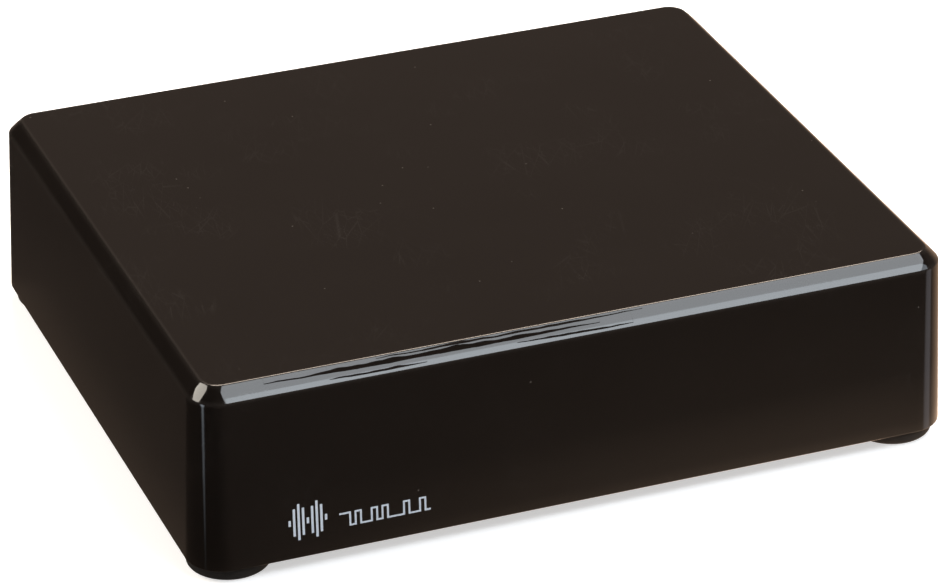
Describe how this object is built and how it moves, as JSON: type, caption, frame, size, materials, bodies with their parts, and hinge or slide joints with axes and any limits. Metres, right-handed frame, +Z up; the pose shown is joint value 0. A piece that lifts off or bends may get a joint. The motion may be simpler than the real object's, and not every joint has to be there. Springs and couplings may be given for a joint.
{
  "type": "desktop dac",
  "caption": "Small glossy desktop digital-to-analogue converter on rubber feet, with phono, optical and power sockets in a recessed rear panel.",
  "frame": {"origin": "bottom centre of the bounding box: on the surface the feet stand on, midway between the front face and the ends of the rear sockets", "axes": "+X to the right seen from the front, +Y from the front face to the rear sockets, +Z up"},
  "size_m": [0.138, 0.1224, 0.0359],
  "materials": {
    "piano_black": "mirror-gloss moulded black plastic, faintly warm",
    "matt_black": "fine-textured black plastic",
    "socket_black": "satin black plastic",
    "shutter_black": "satin dark grey plastic",
    "rubber_black": "matt black rubber",
    "zinc_steel": "bright zinc plate",
    "black_steel": "blackened steel",
    "nickel": "nickel plate",
    "gilt": "thin gold plate on brass",
    "board_laminate": "green solder mask on glass-fibre laminate",
    "chip_black": "moulded epoxy",
    "can_sleeve": "dark shrink sleeve",
    "ferrite": "sintered ferrite",
    "white_plastic": "satin white plastic",
    "red_plastic": "satin red plastic",
    "orange_plastic": "satin orange plastic"
  },
  "bodies": {
    "case": {"analogue_capacitor_left": "can_sleeve", "analogue_capacitor_right": "can_sleeve", "analogue_regulator": "chip_black", "base_plate": "matt_black", "board_screw_back_left": "zinc_steel", "board_screw_back_right": "zinc_steel", "board_screw_front_left": "zinc_steel", "board_screw_front_right": "zinc_steel", "case_screw_back_left": "black_steel", "case_screw_back_right": "black_steel", "case_screw_front_left": "black_steel", "case_screw_front_right": "black_steel", "circuit_board": "board_laminate", "clock_crystal": "nickel", "coaxial_input_contact": "gilt", "coaxial_input_housing": "socket_black", "coaxial_input_insulator": "orange_plastic", "coaxial_input_sleeve": "gilt", "converter_chip": "chip_black", "digital_capacitor": "can_sleeve", "digital_regulator": "chip_black", "foot_back_left": "rubber_black", "foot_back_right": "rubber_black", "foot_front_left": "rubber_black", "foot_front_right": "rubber_black", "input_receiver_chip": "chip_black", "input_transformer": "ferrite", "line_output_housing": "socket_black", "line_output_left_contact": "gilt", "line_output_left_insulator": "white_plastic", "line_output_left_sleeve": "gilt", "line_output_right_contact": "gilt", "line_output_right_insulator": "red_plastic", "line_output_right_sleeve": "gilt", "optical_input_housing": "socket_black", "optical_receiver": "chip_black", "output_amplifier_left": "chip_black", "output_amplifier_right": "chip_black", "output_capacitor_left": "can_sleeve", "output_capacitor_right": "can_sleeve", "power_input_housing": "socket_black", "power_input_leaf": "nickel", "power_input_pin": "nickel", "rear_panel": "matt_black", "supply_capacitor": "can_sleeve", "supply_diode": "chip_black", "supply_inductor": "ferrite", "top_shell": "piano_black"},
    "shutter": {"optical_shutter": "shutter_black", "shutter_spring": "zinc_steel"}
  },
  "joints": [
    {"name": "shutter_hinge", "type": "hinge", "parent": "case", "child": "shutter", "pos_m": [0.023, 0.05081, 0.01915], "axis": [-1, 0, 0], "range_deg": [0, 90], "stiffness_Nm_per_rad": 0.0001, "springref_deg": -34.38}
  ]
}
